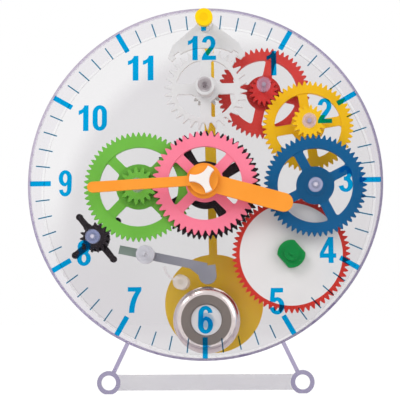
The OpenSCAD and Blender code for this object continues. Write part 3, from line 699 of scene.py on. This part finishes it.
print("painting the works")
dress(plasticOf("redWheel", "red", hubOf("fourth_wheel", 12.5 * mm)), "fourth_wheel")
dress(plasticOf("redPinion", "redPinion"), "fourth_pinion")
dress(plasticOf("redBarrel", "barrelRed"), "barrel_wheel")
dress(plasticOf("yellowWheel", "yellow", hubOf("third_wheel", 12 * mm), hubShade=0.35), "third_wheel")
dress(plasticOf("yellowPinion", "paleYellow"), "third_pinion")
dress(plasticOf("blueWheel", "blue", hubOf("second_wheel", 13.2 * mm)), "second_wheel")
dress(plasticOf("bluePinion", "paleBlue"), "second_pinion")
dress(plasticOf("greenWheel", "green", hubOf("minute_wheel", 16 * mm)), "minute_wheel")
dress(plasticOf("greenPinion", "paleGreen"), "minute_pinion")
dress(plasticOf("pinkWheel", "pink"), "hour_wheel")
dress(plasticOf("blackPlastic", "black", cloud=0.5), "centre_wheel", "cannon_pinion", "strike_pinion",
      "strike_star")
dress(plasticOf("orangeHands", "orange", roughness=0.42), "minute_hand", "hour_hand")
dress(plasticOf("greenHub", "deepGreen"), "winding_hub", "winding_key", "winding_arbor")
dress(plasticOf("whiteWheel", "white"), "escape_wheel", "escape_pinion", "anchor", "bell_post")
dress(plasticOf("whiteLid", "lidWhite"), "barrel_lid")
dress(plasticOf("whiteCap", "capWhite"), "hand_cap")
# The pendulum's slight glow is painted light, an emission of its own colour
dress(plasticOf("yellowPendulum", "pendulumYellow", glow=0.14), "pendulum_rod", "pendulum_bob")
dress(plasticOf("yellowCap", "capYellow", hubOf("top_cap", 2.5 * mm)), "top_cap")
dress(leverMaterial(lever), "hammer_lever")
dress(bellMaterial(bell), "bell")
dress(steelMaterial(steel), "mainspring", "ratchet_wheel", "click", "click_spring", "bell_screw",
      "centre_arbor", "second_arbor", "third_arbor", "fourth_arbor", "escape_arbor", "minute_arbor",
      "strike_arbor", "pendulum_arbor")

print("painting the clear case")
dress(dialMaterial(clearDial), "dial_plate")
dress(backMaterial(clearDrum), "back_plate")
dress(bandMaterial(clearDrum), "case_band")
passLight(nodes["dial_plate"], nodes["back_plate"], nodes["case_band"])
bores = {mount["name"]: mount["pos_m"] for mount in frame["record"]["mounts"]}
dress(standMaterial("clearFootLeft", "foot_left", bores["foot_bore_left"], clearStand), "foot_left")
dress(standMaterial("clearFootRight", "foot_right", bores["foot_bore_right"], clearStand), "foot_right")
stopDot = (dialX - 17.0 * mm, dialZ - 68.7 * mm, 1.4 * mm)
dress(frostedMaterial("clearPost", "post", stopDot), "hammer_stop")
dress(frostedMaterial("clearCollar", "collar"), "hammer_collar", "hammer_arbor")
dress(frostedMaterial("frostedBar", "bar"), "cross_bar")

# ink on the dial

# Both faces of the print are crossed, so a filter is the root of what comes through
ink = {
    "blueFilter": (0.0, 0.69, 0.94, 1),
    "blueBody": (0.0, 0.17, 0.45, 1),
    "fineFilter": (0.08, 0.5, 0.66, 1),
    "fineBody": (0.0, 0.05, 0.12, 1),
    "body": 0.1,
    "wearScale": 300,
    "wear": 0.25,
    "wornShare": 0.8,
    "roughness": 0.45,
    "specular": 0.1,
    "thickness": 0.12 * mm,
    "lift": 0.02 * mm,
    "digitGap": 0.16,
}
inkMiddle = dialFront - ink["lift"] - ink["thickness"] / 2


# Printed ink that filters what lies behind it; body is its own thin colour
def inkMaterial(name, through, body):
    material, tree, shader, place = newMaterial(name)
    cloud = sums(tree, "MULTIPLY", noise(tree, place, ink["wearScale"]), ink["wear"])
    worn = darker(body, ink["wornShare"])
    feed(tree, shader.inputs["Base Color"], mixColour(tree, cloud, body, worn))
    setGloss(shader, ink["roughness"], ink["specular"])
    clear = tree.nodes.new("ShaderNodeBsdfTransparent")
    clear.inputs["Color"].default_value = through
    mixShaders(tree, ink["body"], clear, shader, tree.nodes["Material Output"])
    return material


inkBlue = inkMaterial("inkBlue", ink["blueFilter"], ink["blueBody"])
inkFine = inkMaterial("inkFine", ink["fineFilter"], ink["fineBody"])


# Points of an elliptic arc, its angles in degrees
def arc(x, z, rx, rz, start, end, steps=14):
    angles = [math.radians(start + (end - start) * i / steps) for i in range(steps + 1)]
    return [(x + rx * math.cos(angle), z + rz * math.sin(angle)) for angle in angles]


# The same points turned by half a turn, as a 6 makes a 9
def turned(points, wide):
    return [(wide - x, 1 - z) for x, z in points]


# Digits 1 high with a stem of about 0.19: each is its outline, then its holes
sixOutline = (arc(0.28, 0.71, 0.265, 0.29, 8, 180) + arc(0.28, 0.31, 0.28, 0.31, 180, 450, 26)
              + arc(0.31, 0.53, 0.11, 0.09, 110, 170, 5) + arc(0.29, 0.7, 0.09, 0.155, 180, 12))
sixHole = arc(0.285, 0.31, 0.088, 0.17, 0, 350, 27)
digitForms = {
    "0": (arc(0.28, 0.69, 0.28, 0.31, 0, 180) + arc(0.28, 0.31, 0.28, 0.31, 180, 360),
          arc(0.28, 0.68, 0.082, 0.165, 0, 180) + arc(0.28, 0.32, 0.082, 0.165, 180, 360)),
    "1": ([(0.175, 0), (0.385, 0), (0.385, 1), (0.225, 1)] + arc(-0.02, 1.02, 0.235, 0.22, 350, 275, 6)
          + [(0.0, 0.63), (0.1, 0.66), (0.175, 0.715)],),
    "2": (arc(0.275, 0.7, 0.27, 0.3, 174, -30, 18)
          + [(0.42, 0.4), (0.27, 0.2), (0.27, 0.175), (0.56, 0.175), (0.56, 0), (0, 0), (0, 0.1),
             (0.06, 0.24), (0.2, 0.42)]
          + arc(0.27, 0.69, 0.085, 0.16, -40, 172, 14),),
    "3": (arc(0.27, 0.72, 0.255, 0.28, 172, -42, 18) + arc(0.275, 0.285, 0.285, 0.285, 40, -170, 20)
          + [(0.19, 0.27)] + arc(0.275, 0.285, 0.088, 0.15, -165, 70, 14) + [(0.2, 0.45), (0.2, 0.59)]
          + arc(0.265, 0.725, 0.075, 0.13, -70, 168, 14),),
    "4": ([(0.32, 0), (0.51, 0), (0.51, 0.2), (0.61, 0.2), (0.61, 0.37), (0.51, 0.37), (0.51, 1), (0.33, 1),
           (0, 0.38), (0, 0.2), (0.32, 0.2)],
          [(0.32, 0.37), (0.32, 0.68), (0.15, 0.37)]),
    "5": ([(0.06, 1), (0.52, 1), (0.52, 0.825), (0.215, 0.825), (0.2, 0.635)]
          + arc(0.28, 0.325, 0.285, 0.33, 88, -170, 22)
          + [(0.19, 0.28)] + arc(0.28, 0.325, 0.088, 0.185, -165, 142, 16)
          + [(0.2, 0.46), (0.015, 0.475)],),
    "6": (sixOutline, sixHole),
    "7": ([(0, 1), (0.55, 1), (0.55, 0.86)] + arc(1.73, 0, 1.46, 1.46, 144, 180, 10) + [(0.05, 0)]
          + arc(1.489, 0, 1.439, 1.439, 179.9, 145.0, 10) + [(0, 0.825)],),
    "8": (arc(0.28, 0.735, 0.26, 0.265, -46, 226, 22) + arc(0.28, 0.285, 0.28, 0.285, 130, 410, 26),
          arc(0.28, 0.74, 0.08, 0.125, 0, 348, 23), arc(0.28, 0.29, 0.088, 0.15, 0, 348, 23)),
    "9": (turned(sixOutline, 0.56), turned(sixHole, 0.56)),
}
# Middle of each numeral from the dial's centre, then its width and height, in mm
numerals = {
    12: (-1.2, 94.2, 19.6, 17.3),
    1: (47.1, 82.5, 6.9, 17.4),
    2: (83.5, 48.4, 9.8, 17.5),
    3: (97.0, 0.6, 9.7, 17.9),
    4: (84.0, -48.0, 11.2, 17.8),
    5: (48.9, -82.5, 10.2, 18.0),
    6: (0.3, -94.7, 10.3, 18.9),
    7: (-48.1, -80.9, 9.4, 17.6),
    8: (-83.1, -48.4, 9.6, 17.8),
    9: (-96.4, 0.1, 9.2, 18.4),
    10: (-77.5, 45.7, 19.8, 18.1),
    11: (-44.1, 80.6, 17.9, 17.6),
}


# A flat outline with holes, filled and given the ink's thickness
def flatShape(name, loops):
    curve = bpy.data.curves.new(name, "CURVE")
    curve.dimensions = "2D"
    curve.fill_mode = "BOTH"
    curve.extrude = ink["thickness"] / 2
    for loop in loops:
        spline = curve.splines.new("POLY")
        spline.points.add(len(loop) - 1)
        for point, (x, z) in zip(spline.points, loop):
            point.co = (x, z, 0, 1)
        spline.use_cyclic_u = True
    obj = bpy.data.objects.new(name, curve)
    bpy.context.collection.objects.link(obj)
    makeActive(obj)
    bpy.ops.object.convert(target="MESH")
    return bpy.context.object


def makeNumeral(hour):
    x, z, width, height = numerals[hour]
    loops = []
    at = 0.0
    for digit in str(hour):
        loops += [[(px + at, pz) for px, pz in loop] for loop in digitForms[digit]]
        at += max(px for px, _ in digitForms[digit][0]) + ink["digitGap"]
    total = at - ink["digitGap"]
    scaled = []
    for loop in loops:
        scaled.append([((px / total - 0.5) * width * mm, (pz - 0.5) * height * mm) for px, pz in loop])
    shape = flatShape(f"numeral_{hour}", scaled)
    shape.rotation_euler = (math.pi / 2, 0, 0)
    shape.location = (dialX + x * mm, inkMiddle, dialZ + z * mm)
    return shape


print("printing the numerals")
for hour in numerals:
    passLight(finishPiece(makeNumeral(hour), "case", inkBlue))


# Size of each stroke, the distance of its middle from the dial's centre, and its corners' radius
marks = {
    "hourMarks": {"length": 14.4 * mm, "width": 3.5 * mm, "middle": 113.7 * mm, "corner": 0.35 * mm},
    "minuteMarks": {"length": 9.8 * mm, "width": 0.85 * mm, "middle": 112.7 * mm, "corner": 0.12 * mm},
}


# Radial strokes: one is modelled with round corners and copied to each minute of the list
def makeMarks(name, form, minutes):
    deselectAll()
    bpy.ops.mesh.primitive_cube_add(size=1, location=(0, 0, 0))
    first = bpy.context.object
    first.scale = (form["length"], ink["thickness"], form["width"])
    bpy.ops.object.transform_apply(scale=True)
    bpy.ops.object.mode_set(mode="EDIT")
    bpy.ops.mesh.select_all(action="DESELECT")
    bpy.ops.object.mode_set(mode="OBJECT")
    for edge in first.data.edges:  # the corners are the edges that run front to back
        a, b = (first.data.vertices[i].co for i in edge.vertices)
        edge.select = abs(a.x - b.x) < 0.01 * mm and abs(a.z - b.z) < 0.01 * mm
    bpy.ops.object.mode_set(mode="EDIT")
    bpy.ops.mesh.select_mode(type="EDGE")
    bpy.ops.mesh.bevel(offset=form["corner"], segments=3, affect="EDGES")
    bpy.ops.object.mode_set(mode="OBJECT")
    middle = form["middle"]
    strokes = []
    for minute in minutes:
        stroke = first.copy()
        stroke.data = first.data.copy()
        bpy.context.collection.objects.link(stroke)
        turn = math.radians(90 - 6 * minute)
        stroke.rotation_euler = (0, -turn, 0)
        stroke.location = (dialX + middle * math.cos(turn), inkMiddle, dialZ + middle * math.sin(turn))
        strokes.append(stroke)
    makeActive(first)
    bpy.ops.object.delete()
    return joinAll(strokes, name)


print("printing the minute ring")
hourMinutes = range(0, 60, 5)
otherMinutes = [minute for minute in range(60) if minute % 5]
finishPiece(makeMarks("hourMarks", marks["hourMarks"], hourMinutes), "case", inkBlue)
finishPiece(makeMarks("minuteMarks", marks["minuteMarks"], otherMinutes), "case", inkFine)

# floor, light and camera

stage = {
    "floorSize": 8.0,
    "floorTone": (0.93, 0.93, 0.93, 1),
    "floorRoughness": 0.9,
    "floorGlow": 1.1,
    "floorGlowShare": 0.85,
    "worldLight": 0.62,
    "white": 1.0,
    "lampAim": (0, 0, 0.13),
    "key": {"place": (-0.9, -1.1, 1.3), "size": 0.9, "power": 12.5},
    "fill": {"place": (1.1, -1.2, 0.7), "size": 1.0, "power": 6},
    "back": {"place": (0.1, 1.1, 1.0), "size": 1.0, "power": 6},
}


# 1 where the camera, gloss or clear plastic sees the backdrop, which is white there
def lightPathMask(tree):
    path = tree.nodes.new("ShaderNodeLightPath")
    seen = sums(tree, "MAXIMUM", path.outputs["Is Camera Ray"], path.outputs["Is Glossy Ray"])
    return sums(tree, "MAXIMUM", seen, path.outputs["Is Transmission Ray"])


print("setting the stage")
deselectAll()
bpy.ops.mesh.primitive_plane_add(size=stage["floorSize"], location=(0, 0, 0))
floor = bpy.context.object
floor.name = "floor"
floorMaterial, floorTree, floorShader, _ = newMaterial("paleFloor")
floorShader.inputs["Base Color"].default_value = stage["floorTone"]
setGloss(floorShader, stage["floorRoughness"], 0.0)
glow = floorTree.nodes.new("ShaderNodeEmission")
glow.inputs["Strength"].default_value = stage["floorGlow"]
glowMask = sums(floorTree, "MULTIPLY", lightPathMask(floorTree), stage["floorGlowShare"])
mixShaders(floorTree, glowMask, floorShader, glow, floorTree.nodes["Material Output"])
floor.data.materials.append(floorMaterial)

world = bpy.data.worlds.new("studio")
bpy.context.scene.world = world
world.use_nodes = True
worldTree = world.node_tree
light = worldTree.nodes["Background"]
light.inputs["Color"].default_value = (1, 1, 1, 1)
light.inputs["Strength"].default_value = stage["worldLight"]
white = worldTree.nodes.new("ShaderNodeBackground")
white.inputs["Color"].default_value = (1, 1, 1, 1)
white.inputs["Strength"].default_value = stage["white"]
mixShaders(worldTree, lightPathMask(worldTree), light, white, worldTree.nodes["World Output"])

for name in ("key", "fill", "back"):
    lamp = stage[name]
    deselectAll()
    bpy.ops.object.light_add(type="AREA", location=lamp["place"])
    area = bpy.context.object
    area.name = name + "Lamp"
    area.data.size = lamp["size"]
    area.data.energy = lamp["power"]
    aim = Vector(stage["lampAim"]) - Vector(lamp["place"])
    area.rotation_euler = aim.to_track_quat("-Z", "Y").to_euler()

# The camera's turns are in degrees, and its focal length in pixels of the picture
view = {
    "place": (36.5 * mm, -584.6 * mm, 53.3 * mm),
    "yaw": -1.806,
    "pitch": 4.578,
    "roll": -0.447,
    "focal": 828.9,
    "imageSide": 400,
    "sensor": 36,
    "shift": (-0.08, 0.12),
}
deselectAll()
bpy.ops.object.camera_add(location=view["place"])
camera = bpy.context.object
turn = (Matrix.Rotation(math.radians(-view["yaw"]), 4, "Z")
        @ Matrix.Rotation(math.radians(90 + view["pitch"]), 4, "X")
        @ Matrix.Rotation(math.radians(view["roll"]), 4, "Z"))
camera.rotation_euler = turn.to_euler()
camera.data.sensor_width = view["sensor"]
camera.data.lens = view["focal"] / view["imageSide"] * view["sensor"]
camera.data.shift_x, camera.data.shift_y = view["shift"]
camera.data.clip_start = 0.01
bpy.context.scene.camera = camera
bpy.context.scene.view_settings.view_transform = "Standard"

print("finishing")
